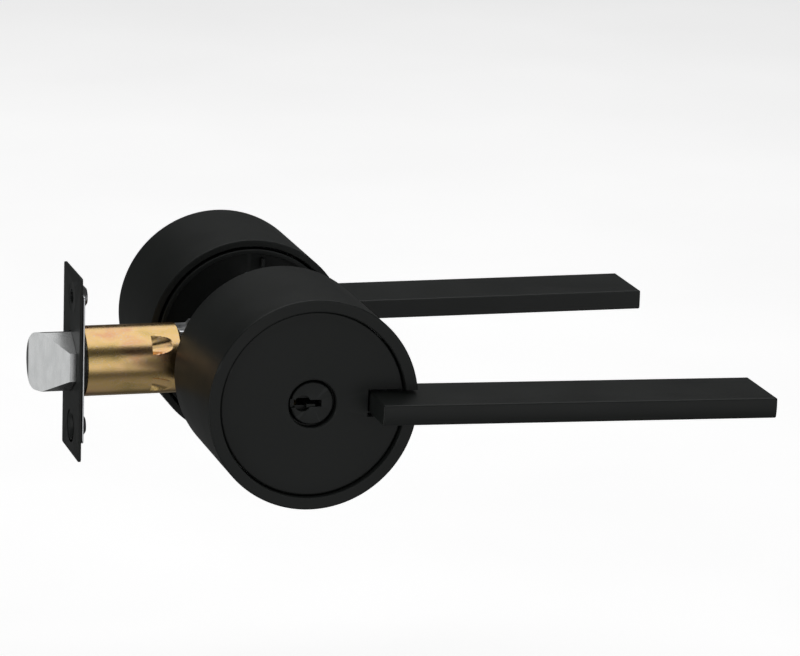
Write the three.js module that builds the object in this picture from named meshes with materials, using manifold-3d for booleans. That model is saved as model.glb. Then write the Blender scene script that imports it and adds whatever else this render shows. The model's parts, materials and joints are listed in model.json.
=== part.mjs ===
// Keyed lever lockset with a tubular spring latch, for a 35 mm door: two hollow drum handles, each
// with a flat lever, and a latch that one square spindle draws back.
//
// Millimetres. The origin is where the spindle's axis (Y) crosses the latch's axis (X), in the
// middle of the door. +X runs towards the levers' free ends, -Y faces outdoors and +Z is up.
// The pieces of both handles are drawn with Y as the distance out from the middle of the door,
// so the indoor handle is as drawn and the outdoor one is its mirror image.

import * as THREE from "three";
import { mergeVertices } from "three/addons/utils/BufferGeometryUtils.js";
import Module from "manifold-3d";

const wasm = await Module();
wasm.setup();

// ---------------------------------------------------------------- driving dimensions

const GAP = 0.3; // between a piece and the piece it touches
const OVER = 1.0; // how far a cutting tool runs past what it cuts
const DOOR = { half: 17.5, backset: 61.3 };
const OUTER_DROOP = 1.4; // degrees that the outdoor lever hangs below level, by the play in its parts

const DRUM = { radius: 32.6, wall: 2.2, edge: 18.1, face: 63.8, chamfer: 0.4 };
const RIM = { width: 3.75, depth: 6.9 };
const DISC = { recess: 1.7, thickness: 3.0, hole: 7.45, edge: 0.6 };
const LEVER = { height: 6.3, front: 77.5, back: 51.2, start: 17.9, end: 143.6, corner: 0.6 };
const NOTCH = { end: 0.7, side: 1.1 }; // the room round the lever in the drum and the disc
const LEVER_SCREW = { at: [20.8, 26.8], radius: 1.6, head: 2.7, headDepth: 2.8, end: 57.4, socket: 1.3 };
const CORE = { web: 4.3, neck: 11.7, boss: 12.5, end: 18.3, flangeWall: 3.1, cheek: 3.7 };
const SOCKET = 8.3; // across the flats of the square holes that the spindle sits in
const SPINDLE = { size: 7.7, bore: 2.9, half: 30 };
const SET_SCREW = { radius: 1.9, out: 53.5, top: 32.2, bottom: 27.2, socket: 1.0 };

const CUP = { radius: 29.6, wall: 1.4, floor: 20.4, top: 22.0, hole: 12.3, edge: 0.8 };
const CUP_TAB = { x: [3.9, 4.9], depth: 2.0, z: [23.4, 26.4] };
const SLEEVE = { inner: 12.0, outer: 13.8, flange: 15.0, flangeDepth: 1.0, end: 38.0 };
const CLIP = { inner: 10.5, outer: 14.0, from: 19.2, to: 20.1, mouth: 9 };
const POST = { height: 19.4, radius: 3.4, bore: 2.3, from: -20.1, to: 4.0 };
const THROUGH_SCREW = { radius: 2.0, tip: -14, head: 3.9, headDepth: 3.0, dome: 1.2 };
const CROSS_SLOT = { length: 5.2, depth: 1.8, width: 1.1 };
const RETURN_SPRING = { radius: 17.2, wire: 0.8, start: 27.2, pitch: 2.3, turns: 3.25 };
const SPRING_LEG = { angle: -30, length: 3.0 };

const PLUG = { radius: 6.6, recess: 1.0, chamfer: 0.3, back: 38.9, journal: 4.5, journalEnd: 37.2 };
const HOUSING = { inner: 6.9, outer: 8.6, back: 39.2, front: 58.8 };
const BIBLE = { end: -16.6, half: 4.1, front: 56.4 }; // the housing's block, with the pins' chambers
const KEYWAY = { width: 2.2, from: -5.2, to: 3.0, mouth: 2.5, mouthAt: -2.9, mouthDepth: 2.5 };
const KEY_WARD = { from: -1.5, to: 1.2, height: 0.75, below: 0.5 };
const PLUG_NOTCH = { depth: 1.3, half: 1.3, length: 1.0 }; // in the edge of the plug's front
const PLUG_CLIP = { radius: 7.6 };
const PIN = { first: 41.2, pitch: 3.3, radius: 1.05, chamber: 1.35, bottom: 2.4 };
const PIN_COVER = { thickness: 0.8 };
const KEY_PIN = { end: 6.3, foot: 2.6, cuts: [0, 0.8, 0.4, 0, 0.8] }; // by how much each is shorter
const DRIVER_PIN = { end: 6.9, length: 3.6 };
const BLADE_BAR = { width: 4.6, thickness: 1.6, from: 3.0, to: 36.9 };
const THUMB = { journal: 4.0, disc: 7.0, discTop: 63.2, edge: 0.5, step: 44.0 };
const THUMB_GRIP = { length: 12.4, width: 4.0, height: 8.0, corner: 1.2 };
const THUMB_CLIP = { inner: 3.4, outer: 6.5, groove: 1.5, groovedRadius: 3.1, thickness: 0.9 };

const PLATE = { height: 58.4, width: 25.4, thickness: 0.9, corner: 0.9, holeSpacing: 41.3 };
const PLATE_DIMPLE = { mouth: 4.4, throat: 2.3, depth: 2.6, wall: 0.8 };
const BACKING = { height: 46.8, width: 24.4, thickness: 0.5, corner: 0.9 };
const BACKING_DIMPLE = { mouth: 5.5, throat: 2.0, depth: 3.3, wall: 0.5 };
const BOLT = { radius: 9.4, throw: 12.7, frontFlat: -8.0, flatHalf: 4.5, sideEnd: 0, back: -52.2, nose: 2.6 };
const BOLT_COLLAR = { radius: 9.9, from: -59.2, to: -56.7 }; // stops the bolt behind the backing plate
const BEVEL = { start: 2.0, tipEdge: 3.9 };
const COLLAR = { from: -59.3, to: -58.4 }; // the black ring between the plates and the tube
const TUBE = { outer: 11.0, wall: 0.8, from: -58.1, to: -28.5 };
const TUBE_SLIT = { from: -37.6, to: -36.4, angle: 36.5, width: 5.0 };
const SEAT = { radius: 9.9, hole: 2.4, from: -39.1, to: -37.9 };
const LATCH_SPRING = { radius: 3.9, wire: 0.5, from: -61.4, to: -39.9, turns: 7 };
const STEM = { radius: 2.0, from: -66.7, bore: 2.3, counterbore: 5.6, counterDepth: 10 };
const FORK = { near: 7.4, far: 9.6, inTube: 8.4, leg: [10.4, 13.0], from: -34.7, face: -4.85, end: -2.2 };
const FORK_LAYER = { from: 3.9, to: 4.9, inside: -3.3 }; // where the fork lies across the latch case
const YOKE = { thickness: 1.2, behind: -2.2, leg: 3.0 }; // the fork's cross piece, and its legs' width
const HUB = { radius: 6.9, from: -7.5, to: 8.3 };
const HUB_ARM = { length: 12.7, half: 3.3, thickness: 1.4, tip: 1.2, lean: 30 };
const CASE = { from: -28.2, flareFrom: -19.0, flareTo: -14.0, to: 13.0, low: 10.9, high: 15.4, corner: 2.0 };
const CASE_NECK = { half: 9.7, to: -24.0, slopeTo: -22.8 }; // where the case starts, inside the tube's height
const CASE_LAYER = { wall: 1.0, outerFace: -5.4, innerFace: 6.2, seam: 0.4, hole: 7.2 };
const RIVET = { at: { front: -17.4, rear: 10.3 }, radius: 1.1, head: 1.9, headDepth: 0.8 };

const FINE = 48; // facets round the drums and what shows with them
const ROUND = 24; // facets round the latch and the key cylinder
const COARSE = 12; // facets round the small and hidden pieces

// ---------------------------------------------------------------- finishes

const FINISH = {
  blackPaint: { color: 0x1b1d1c, roughness: 0.45, metalness: 0.2 },
  goldZinc: { color: 0xb98a3e, roughness: 0.35, metalness: 0.9 },
  satinSteel: { color: 0xb9bbbb, roughness: 0.35, metalness: 1.0 },
  brightZinc: { color: 0xd5d8d9, roughness: 0.3, metalness: 0.9 },
  castZinc: { color: 0x8f9294, roughness: 0.55, metalness: 0.8 },
  springSteel: { color: 0x6f7173, roughness: 0.35, metalness: 1.0 },
  brass: { color: 0xc2a14e, roughness: 0.3, metalness: 1.0 },
};

// ---------------------------------------------------------------- solids from three.js geometry

function manifoldOf(vertProperties, triVerts) {
  return new wasm.Manifold(new wasm.Mesh({ numProp: 3, vertProperties, triVerts }));
}

function reversed(triangles) {
  const turned = triangles.slice();
  for (let i = 0; i < turned.length; i += 3) {
    turned[i + 1] = triangles[i + 2];
    turned[i + 2] = triangles[i + 1];
  }
  return turned;
}

// A closed geometry as a solid whose faces point out, whichever way round it was drawn.
function solid(geometry) {
  const bare = geometry.index ? geometry.toNonIndexed() : geometry.clone();
  bare.deleteAttribute("normal");
  bare.deleteAttribute("uv");
  const merged = mergeVertices(bare, 1e-4);
  const corners = merged.index.array;
  const kept = [];
  for (let i = 0; i < corners.length; i += 3) {
    const [a, b, c] = [corners[i], corners[i + 1], corners[i + 2]];
    if (a !== b && b !== c && c !== a) kept.push(a, b, c);
  }
  const points = new Float32Array(merged.attributes.position.array);
  const triangles = new Uint32Array(kept);
  const made = manifoldOf(points, triangles);
  return made.volume() > 0 ? made : manifoldOf(points, reversed(triangles));
}

function geometryOf(made, mirrored = false) {
  const mesh = made.getMesh();
  const points = new Float32Array(mesh.numVert * 3);
  for (let i = 0; i < mesh.numVert; i++) {
    points.set(mesh.vertProperties.subarray(i * mesh.numProp, i * mesh.numProp + 3), i * 3);
  }
  const geometry = new THREE.BufferGeometry();
  geometry.setAttribute("position", new THREE.BufferAttribute(points, 3));
  const triangles = mirrored ? reversed(mesh.triVerts) : mesh.triVerts;
  geometry.setIndex(new THREE.BufferAttribute(new Uint32Array(triangles), 1));
  if (mirrored) geometry.scale(1, -1, 1);
  return geometry;
}

const joined = (...solids) => solids.reduce((whole, piece) => whole.add(piece));
const cut = (whole, ...tools) => tools.reduce((left, tool) => left.subtract(tool), whole);

// Turning a shape that is drawn along Y so that it lies along another axis.
const toX = (geometry) => geometry.rotateZ(-Math.PI / 2);
const toZ = (geometry) => geometry.rotateX(Math.PI / 2);

function latheGeometry(profile, facets) {
  return new THREE.LatheGeometry(profile.map(([r, y]) => new THREE.Vector2(r, y)), facets);
}

// A body of revolution about Y, from [radius, y] points that go once round its section.
function turned(profile, facets = FINE) {
  return solid(latheGeometry([...profile, profile[0]], facets));
}

function ringGeometry(inner, outer, from, to, facets) {
  const section = [[inner, from], [outer, from], [outer, to], [inner, to], [inner, from]];
  return latheGeometry(section, facets);
}

function rodGeometry(radius, from, to, facets) {
  return latheGeometry([[0, from], [radius, from], [radius, to], [0, to]], facets);
}

const ring = (inner, outer, from, to, facets = FINE) => solid(ringGeometry(inner, outer, from, to, facets));
const rod = (radius, from, to, facets = COARSE) => solid(rodGeometry(radius, from, to, facets));

// A rod along Y whose axis passes through x and z.
function rodAt(x, z, radius, from, to, facets = COARSE) {
  return solid(rodGeometry(radius, from, to, facets).translate(x, 0, z));
}

function box([x0, x1], [y0, y1], [z0, z1]) {
  const geometry = new THREE.BoxGeometry(x1 - x0, y1 - y0, z1 - z0);
  return solid(geometry.translate((x0 + x1) / 2, (y0 + y1) / 2, (z0 + z1) / 2));
}

const both = (half) => [-half, half];

// An outline in the XZ plane as a plate from one y to another.
function plateY(outline, from, to) {
  const options = { depth: to - from, bevelEnabled: false };
  const geometry = new THREE.ExtrudeGeometry(new THREE.Shape(outline), options);
  return solid(geometry.rotateX(Math.PI / 2).translate(0, to, 0));
}

// An outline in the YZ plane as a bar from one x to another.
function barX(outline, from, to, curveSegments = 8) {
  const options = { depth: to - from, bevelEnabled: false, curveSegments };
  const geometry = new THREE.ExtrudeGeometry(outline, options);
  const axes = new THREE.Matrix4().makeBasis(
    new THREE.Vector3(0, 1, 0),
    new THREE.Vector3(0, 0, 1),
    new THREE.Vector3(1, 0, 0),
  );
  return solid(geometry.applyMatrix4(axes).translate(from, 0, 0));
}

function roundedRectangle([u0, u1], [v0, v1], corner) {
  const shape = new THREE.Shape();
  shape.moveTo(u0 + corner, v0);
  shape.lineTo(u1 - corner, v0);
  shape.absarc(u1 - corner, v0 + corner, corner, -Math.PI / 2, 0);
  shape.lineTo(u1, v1 - corner);
  shape.absarc(u1 - corner, v1 - corner, corner, 0, Math.PI / 2);
  shape.lineTo(u0 + corner, v1);
  shape.absarc(u0 + corner, v1 - corner, corner, Math.PI / 2, Math.PI);
  shape.lineTo(u0, v0 + corner);
  shape.absarc(u0 + corner, v0 + corner, corner, Math.PI, 1.5 * Math.PI);
  return shape;
}

// A round wire along a list of points.
function wireAlong(points, radius, steps, sides = 5) {
  const section = [];
  for (let i = 0; i < sides; i++) {
    const angle = (i / sides) * 2 * Math.PI;
    section.push(new THREE.Vector2(radius * Math.cos(angle), radius * Math.sin(angle)));
  }
  const extrudePath = new THREE.CatmullRomCurve3(points, false, "centripetal");
  return solid(new THREE.ExtrudeGeometry(new THREE.Shape(section), { steps, extrudePath }));
}

// ---------------------------------------------------------------- handle, drawn as the indoor one

const rimBack = DRUM.face - RIM.depth;
const rimInner = DRUM.radius - RIM.width;
const drumInner = DRUM.radius - DRUM.wall;
const discFace = DRUM.face - DISC.recess;
const discBack = discFace - DISC.thickness;
const plugFace = discFace - PLUG.recess;
const coreFront = rimBack - GAP;
const webFront = LEVER.back - GAP;
const webBack = webFront - CORE.web;
const coreRadius = drumInner - GAP;

// The room that the lever's inner end has in the drum, the disc or the core.
function leverNotch(end, side) {
  const x = [LEVER.start - end, DRUM.radius + OVER];
  return box(x, [webFront, DRUM.face + OVER], both(LEVER.height / 2 + side));
}

const openNotch = () => leverNotch(NOTCH.end, NOTCH.side);

// The radial hole, at the bottom of the handle, for the screw that locks the drum to its core.
function setScrewHole() {
  return setScrewRod(SET_SCREW.radius + GAP, SET_SCREW.bottom - OVER, DRUM.radius + OVER);
}

function drum() {
  const shell = turned([
    [DRUM.radius, DRUM.edge],
    [DRUM.radius, DRUM.face - DRUM.chamfer],
    [DRUM.radius - DRUM.chamfer, DRUM.face],
    [rimInner, DRUM.face],
    [rimInner, rimBack],
    [drumInner, rimBack],
    [drumInner, DRUM.edge],
  ]);
  return cut(shell, openNotch(), setScrewHole());
}

function faceDisc() {
  const radius = rimInner - GAP;
  const plate = turned([
    [DISC.hole, discBack],
    [radius, discBack],
    [radius, discFace - DISC.edge],
    [radius - DISC.edge, discFace],
    [DISC.hole, discFace],
  ]);
  return cut(plate, openNotch());
}

function coreBlank() {
  const web = rod(coreRadius, webBack, webFront, FINE);
  const flange = ring(coreRadius - CORE.flangeWall, coreRadius, webBack, coreFront);
  const boss = rod(CORE.boss, webBack, coreFront, ROUND);
  const neck = rod(CORE.neck, CORE.end, webBack + OVER, ROUND);
  const cheeks = [1, -1].map((side) => {
    const near = LEVER.height / 2 + GAP;
    const far = near + CORE.cheek;
    const z = side > 0 ? [near, far] : [-far, -near];
    return box([CORE.boss - OVER, coreRadius - CORE.flangeWall + OVER], [webBack, coreFront], z);
  });
  return joined(web, flange, boss, neck, ...cheeks);
}

// What every core has cut out of it: the lever's seat, the spindle's socket, the clip's groove and
// the screw holes.
function coreCuts() {
  const socket = box(both(SOCKET / 2), [CORE.end - OVER, webBack], both(SOCKET / 2));
  const groove = ring(CLIP.inner - GAP, CORE.neck + OVER, CLIP.from - GAP, CLIP.to + GAP, ROUND);
  const holeRadius = LEVER_SCREW.radius + GAP;
  const screwHoles = LEVER_SCREW.at.map((x) => rodAt(x, 0, holeRadius, webBack - OVER, webFront + OVER));
  return [leverNotch(GAP, GAP), socket, groove, ...screwHoles, setScrewHole()];
}

function outerCore() {
  const bore = rod(HOUSING.outer + GAP, PLUG.journalEnd - OVER, coreFront + OVER, ROUND);
  const bibleSlot = box(
    [BIBLE.end - PIN_COVER.thickness - 2 * GAP, 0],
    [HOUSING.back - GAP, coreFront + OVER],
    both(BIBLE.half + GAP),
  );
  return cut(coreBlank(), ...coreCuts(), bore, bibleSlot);
}

function innerCore() {
  const journalBore = rod(THUMB.journal + GAP, THUMB.step - OVER, coreFront + OVER, ROUND);
  const clipPocket = rod(HOUSING.outer + GAP, PLUG.journalEnd - OVER, THUMB.step, ROUND);
  return cut(coreBlank(), ...coreCuts(), journalBore, clipPocket);
}

function lever() {
  const half = LEVER.height / 2;
  const section = roundedRectangle([LEVER.back, LEVER.front], both(half), LEVER.corner);
  const blade = barX(section, LEVER.start, LEVER.end, 2);
  const holes = LEVER_SCREW.at.map((x) =>
    rodAt(x, 0, LEVER_SCREW.radius + GAP, LEVER.back - OVER, LEVER_SCREW.end + GAP),
  );
  return cut(blade, ...holes);
}

// A socket head screw that comes through the core from behind and holds the lever.
function leverScrew(x) {
  const { radius, head, headDepth, end, socket } = LEVER_SCREW;
  const seat = webBack - GAP;
  const under = seat - headDepth;
  const shank = rodAt(x, 0, radius, seat - OVER, end);
  const cap = rodAt(x, 0, head, under, seat);
  return cut(joined(shank, cap), rodAt(x, 0, socket, under - OVER, seat - headDepth / 2, 6));
}

// A rod along Z, below the spindle's axis, where the set screw goes.
function setScrewRod(radius, from, to, facets = COARSE) {
  const geometry = toZ(rodGeometry(radius, -to, -from, facets));
  return solid(geometry.translate(0, SET_SCREW.out, 0));
}

function setScrew() {
  const { radius, top, bottom, socket } = SET_SCREW;
  return cut(setScrewRod(radius, bottom, top), setScrewRod(socket, top - radius, top + OVER, 6));
}

// ---------------------------------------------------------------- fixed parts on each door face

// A shallow dish whose edge rests on the door. A small tab is lanced up from its floor.
function mountCup() {
  const dish = turned([
    [CUP.radius, DOOR.half],
    [CUP.radius, CUP.top - CUP.edge],
    [CUP.radius - CUP.edge, CUP.top],
    [CUP.hole, CUP.top],
    [CUP.hole, CUP.floor],
    [CUP.radius - CUP.wall, CUP.floor],
    [CUP.radius - CUP.wall, DOOR.half],
  ]);
  const tab = box(CUP_TAB.x, [CUP.floor - CUP_TAB.depth, CUP.floor + GAP], CUP_TAB.z);
  const screwHoles = [1, -1].map((side) =>
    rodAt(0, side * POST.height, POST.bore, CUP.floor - OVER, CUP.top + OVER),
  );
  const angle = THREE.MathUtils.degToRad(SPRING_LEG.angle);
  const [x, z] = [RETURN_SPRING.radius * Math.cos(angle), RETURN_SPRING.radius * Math.sin(angle)];
  const springHole = rodAt(x, z, 2 * RETURN_SPRING.wire, CUP.floor - OVER, CUP.top + OVER);
  return cut(dish.add(tab), ...screwHoles, springHole);
}

function bearingSleeve() {
  const foot = CUP.top + GAP;
  return turned([
    [SLEEVE.inner, foot],
    [SLEEVE.flange, foot],
    [SLEEVE.flange, foot + SLEEVE.flangeDepth],
    [SLEEVE.outer, foot + SLEEVE.flangeDepth],
    [SLEEVE.outer, SLEEVE.end],
    [SLEEVE.inner, SLEEVE.end],
  ], ROUND);
}

// An open spring clip in the neck's groove, which keeps the handle on the cup.
function neckClip() {
  const mouth = box(both(CLIP.mouth / 2), [CLIP.from - OVER, CLIP.to + OVER], [-CLIP.outer - OVER, 0]);
  return cut(ring(CLIP.inner, CLIP.outer, CLIP.from, CLIP.to, ROUND), mouth);
}

// A torsion spring round the sleeve. One leg drops into the cup and the other reaches the core.
function returnSpring() {
  const { radius, wire, start, pitch, turns } = RETURN_SPRING;
  const leg = SPRING_LEG.length;
  const at = (turn, y) => {
    const angle = THREE.MathUtils.degToRad(SPRING_LEG.angle) + turn * 2 * Math.PI;
    return new THREE.Vector3(radius * Math.cos(angle), y, radius * Math.sin(angle));
  };
  const points = [at(0, CUP.floor + wire / 4), at(0, start - leg), at(0, start - leg / 2)];
  const perTurn = 12;
  for (let i = 1; i <= turns * perTurn; i++) {
    const turn = i / perTurn;
    points.push(at(turn, start + turn * pitch));
  }
  const coilEnd = start + turns * pitch;
  points.push(at(turns, coilEnd + leg), at(turns, webBack - wire));
  return wireAlong(points, wire, turns * 16);
}

function mountPost(side) {
  const tube = ringGeometry(POST.bore, POST.radius, POST.from, POST.to, COARSE);
  return solid(tube.translate(0, 0, side * POST.height));
}

function throughScrew(side) {
  const seat = CUP.top + GAP;
  const { radius, tip, head, headDepth, dome } = THROUGH_SCREW;
  const crown = seat + headDepth;
  const shank = [[0, tip], [radius, tip], [radius, seat]];
  const cap = [[head, seat], [head, crown - dome], [head - dome, crown], [0, crown]];
  const screw = solid(latheGeometry([...shank, ...cap], COARSE));
  const slots = [0, Math.PI / 2].map((turn) => {
    const blade = new THREE.BoxGeometry(CROSS_SLOT.length, 2 * CROSS_SLOT.depth, CROSS_SLOT.width);
    return solid(blade.rotateY(turn).translate(0, crown, 0));
  });
  return solid(geometryOf(cut(screw, ...slots)).translate(0, 0, side * POST.height));
}

// ---------------------------------------------------------------- key cylinder, in the outdoor handle

const pinIndexes = KEY_PIN.cuts.map((_, index) => index);

// A rod along X, from one x to another, whose axis is at the given distance out.
function crossRod(radius, from, to, out, facets = 8) {
  return solid(toX(rodGeometry(radius, from, to, facets)).translate(0, out, 0));
}

// A rod in the chamber of one pin.
function pinRod(index, radius, from, to) {
  return crossRod(radius, from, to, PIN.first + index * PIN.pitch);
}

function cylinderHousing() {
  const barrel = rod(HOUSING.outer, HOUSING.back, HOUSING.front, ROUND);
  const bible = box([BIBLE.end, 0], [HOUSING.back, BIBLE.front], both(BIBLE.half));
  const bore = rod(HOUSING.inner, HOUSING.back - OVER, HOUSING.front + OVER, ROUND);
  const chambers = pinIndexes.map((i) => pinRod(i, PIN.chamber, BIBLE.end - OVER, 0));
  return cut(joined(barrel, bible), bore, ...chambers);
}

function keyPlug() {
  const body = solid(
    latheGeometry([
      [0, PLUG.journalEnd],
      [PLUG.journal, PLUG.journalEnd],
      [PLUG.journal, PLUG.back],
      [PLUG.radius, PLUG.back],
      [PLUG.radius, plugFace - PLUG.chamfer],
      [PLUG.radius - PLUG.chamfer, plugFace],
      [0, plugFace],
    ], ROUND),
  );
  const front = plugFace + OVER;
  const back = PLUG.journalEnd - OVER;
  const half = KEYWAY.width / 2;
  const slot = box([KEYWAY.from, KEYWAY.to], [back, front], both(half));
  const wardTop = -half + KEY_WARD.height;
  const ward = box([KEY_WARD.from, KEY_WARD.to], [back, plugFace - KEY_WARD.below], [-half - OVER, wardTop]);
  const mouth = rodAt(KEYWAY.mouthAt, 0, KEYWAY.mouth, plugFace - KEYWAY.mouthDepth, front);
  const notchX = [-PLUG.radius - OVER, -PLUG.radius + PLUG_NOTCH.depth];
  const notch = box(notchX, [plugFace - PLUG_NOTCH.length, front], both(PLUG_NOTCH.half));
  const chambers = pinIndexes.map((i) => pinRod(i, PIN.chamber, -PLUG.radius - OVER, -PIN.bottom));
  const keyway = cut(slot, ward);
  return cut(body, keyway, mouth, notch, ...chambers);
}

// The pin that rides on the key, as long as the key's cut is deep.
function keyPin(index) {
  return pinRod(index, PIN.radius, -KEY_PIN.end, -KEY_PIN.foot - KEY_PIN.cuts[index]);
}

function driverPin(index) {
  return pinRod(index, PIN.radius, -DRIVER_PIN.end - DRIVER_PIN.length, -DRIVER_PIN.end);
}

function pinCover() {
  const inside = BIBLE.end - GAP;
  const x = [inside - PIN_COVER.thickness, inside];
  return box(x, [HOUSING.back, BIBLE.front], both(BIBLE.half));
}

function plugClip() {
  return ring(PLUG.journal + GAP, PLUG_CLIP.radius, PLUG.journalEnd + GAP, PLUG.back - GAP, ROUND);
}

// A flat bar on the spindle's axis, inside its bore.
function flatBar() {
  const { width, thickness, from, to } = BLADE_BAR;
  return box(both(thickness / 2), [from, to], both(width / 2));
}

// ---------------------------------------------------------------- thumb turn, in the indoor handle

function thumbTurn() {
  const groove = THUMB.step - THUMB_CLIP.groove;
  const under = discBack + GAP;
  const shaft = solid(
    latheGeometry([
      [0, BLADE_BAR.to + GAP],
      [THUMB.journal, BLADE_BAR.to + GAP],
      [THUMB.journal, groove],
      [THUMB_CLIP.groovedRadius, groove],
      [THUMB_CLIP.groovedRadius, THUMB.step],
      [THUMB.journal, THUMB.step],
      [THUMB.journal, under],
      [THUMB.disc, under],
      [THUMB.disc, THUMB.discTop - THUMB.edge],
      [THUMB.disc - THUMB.edge, THUMB.discTop],
      [0, THUMB.discTop],
    ], ROUND),
  );
  const { length, width, height, corner } = THUMB_GRIP;
  const outline = roundedRectangle(both(length / 2), both(width / 2), corner);
  const options = { depth: height + OVER, bevelEnabled: false, curveSegments: 3 };
  const grip = new THREE.ExtrudeGeometry(outline, options);
  grip.rotateX(-Math.PI / 2).rotateY(Math.PI / 2).translate(0, THUMB.discTop - OVER, 0);
  return shaft.add(solid(grip));
}

function thumbClip() {
  const { inner, outer, thickness } = THUMB_CLIP;
  const back = THUMB.step - GAP - thickness;
  return ring(inner, outer, back, THUMB.step - GAP, ROUND);
}

// ---------------------------------------------------------------- latch

const plateFace = -DOOR.backset;
const plateBack = plateFace + PLATE.thickness;
const backingFace = plateBack + GAP;
const backingBack = backingFace + BACKING.thickness;
const tubeInner = TUBE.outer - TUBE.wall;

// The section of the bolt across its length: round behind, with a flat front and slanting sides.
function boltSection(grow = 0) {
  const radius = BOLT.radius + grow;
  const end = Math.atan2(Math.sqrt(radius ** 2 - BOLT.sideEnd ** 2), BOLT.sideEnd);
  const shape = new THREE.Shape();
  shape.moveTo(BOLT.frontFlat - grow, -BOLT.flatHalf - grow);
  shape.lineTo(BOLT.sideEnd, -radius * Math.sin(end));
  shape.absarc(0, 0, radius, -end, end);
  shape.lineTo(BOLT.frontFlat - grow, BOLT.flatHalf + grow);
  return shape;
}

// Something made along X from the origin, moved to the upper or lower screw hole of a plate.
function atScrewHole(geometry, x, side) {
  return solid(toX(geometry).translate(x, 0, (side * PLATE.holeSpacing) / 2));
}

// A solid of revolution that narrows from its first radius to its second over a depth, with a
// short straight stretch ahead of the wide end.
function funnelGeometry(wide, narrow, depth, ahead) {
  return latheGeometry([[0, -ahead], [wide, -ahead], [wide, 0], [narrow, depth], [0, depth]], COARSE);
}

// A plate with a dimple pressed into each end for a screw, and a hole for the bolt.
function dimpledPlate(face, { width, height, thickness, corner }, { mouth, throat, depth, wall }) {
  const back = face + thickness;
  let plate = barX(roundedRectangle(both(width / 2), both(height / 2), corner), face, back, 2);
  for (const side of [1, -1]) {
    const ear = atScrewHole(rodGeometry(mouth + wall, 0, thickness, COARSE), face, side);
    const shell = atScrewHole(funnelGeometry(mouth + wall, throat + wall, depth, 0), face, side);
    const hollow = atScrewHole(funnelGeometry(mouth, throat, depth - wall, OVER), face, side);
    const screwHole = atScrewHole(rodGeometry(throat, -OVER, depth + OVER, COARSE), face, side);
    plate = cut(joined(plate, ear, shell), hollow, screwHole);
  }
  return cut(plate, barX(boltSection(GAP), face - OVER, back + OVER, 10));
}

function faceplate() {
  return dimpledPlate(plateFace, PLATE, PLATE_DIMPLE);
}

function backingPlate() {
  return dimpledPlate(backingFace, BACKING, BACKING_DIMPLE);
}

function tubeRing(from, to) {
  return solid(toX(ringGeometry(tubeInner, TUBE.outer, from, to, ROUND)));
}

function latchTube() {
  const wall = tubeRing(TUBE.from, TUBE.to);
  const slits = [1, -1].map((side) => {
    const length = TUBE_SLIT.to - TUBE_SLIT.from;
    const tool = new THREE.BoxGeometry(length, 4 * TUBE.wall, TUBE_SLIT.width).translate(0, -TUBE.outer, 0);
    tool.rotateX(THREE.MathUtils.degToRad(-side * TUBE_SLIT.angle));
    return solid(tool.translate((TUBE_SLIT.from + TUBE_SLIT.to) / 2, 0, 0));
  });
  return cut(wall, ...slits);
}

// A rod along X with a rounded front end, which the bolt's own end is cut to.
function boltNose(tip) {
  const radius = BOLT.radius + GAP;
  const steps = 3;
  const round = [];
  for (let i = 0; i <= steps; i++) {
    const angle = (i / steps) * (Math.PI / 2);
    const inwards = BOLT.nose * (1 - Math.sin(angle));
    round.push([radius - inwards, tip + BOLT.nose * (1 - Math.cos(angle))]);
  }
  const end = BOLT.back + OVER;
  return solid(toX(latheGeometry([[0, tip], ...round, [radius, end], [0, end]], ROUND)));
}

// The wedge that is cut off the bolt's outdoor side, so that the strike can push the bolt in.
function boltBevel(tip) {
  const base = plateFace - BEVEL.start;
  const slope = (BEVEL.tipEdge - BOLT.frontFlat) / (base - tip);
  const wedge = new THREE.Shape([
    new THREE.Vector2(base + OVER, BOLT.frontFlat - OVER * slope),
    new THREE.Vector2(tip - OVER, BEVEL.tipEdge + OVER * slope),
    new THREE.Vector2(tip - OVER, BOLT.frontFlat - OVER * slope),
  ]);
  const height = 3 * BOLT.radius;
  const cutter = new THREE.ExtrudeGeometry(wedge, { depth: height, bevelEnabled: false });
  return solid(cutter.translate(0, 0, -height / 2));
}

function latchBolt() {
  const tip = plateFace - BOLT.throw;
  const springRoom = crossRod(STEM.counterbore, BOLT.back - STEM.counterDepth, BOLT.back + OVER, 0, COARSE);
  const stemHole = crossRod(STEM.bore, STEM.from - GAP, BOLT.back, 0, COARSE);
  const collar = crossRod(BOLT_COLLAR.radius, BOLT_COLLAR.from, BOLT_COLLAR.to, 0, ROUND);
  const bar = barX(boltSection(), tip, BOLT.back, 10).intersect(boltNose(tip));
  return cut(joined(bar, collar), boltBevel(tip), springRoom, stemHole);
}

// The bolt's tail: a stem through the spring, and a fork whose two ends the hub's arms push.
function drawbar() {
  const stem = crossRod(STEM.radius, STEM.from, FORK.from + YOKE.thickness / 2, 0, 12);
  const yoke = [FORK.from, FORK.from + YOKE.thickness];
  const cross = box(yoke, [YOKE.behind, FORK_LAYER.to], both(FORK.inTube));
  const layer = [FORK_LAYER.from, FORK_LAYER.to];
  const widened = CASE_NECK.slopeTo + GAP; // the fork is wider once it is past the case's neck
  const prongs = [1, -1].map((side) => {
    const span = (near, far) => (side > 0 ? [near, far] : [-far, -near]);
    return joined(
      box([FORK.from, widened + GAP], layer, span(FORK.near, FORK.inTube)),
      box([widened, FORK.end], layer, span(FORK.near, FORK.far)),
      box([FORK.face - YOKE.leg, FORK.end], layer, span(FORK.near, FORK.leg[1])),
      box([FORK.face, FORK.end], [FORK_LAYER.inside, FORK_LAYER.to], span(...FORK.leg)),
    );
  });
  return joined(stem, cross, ...prongs);
}

function springSeat() {
  return solid(toX(ringGeometry(SEAT.hole, SEAT.radius, SEAT.from, SEAT.to, ROUND)));
}

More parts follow.
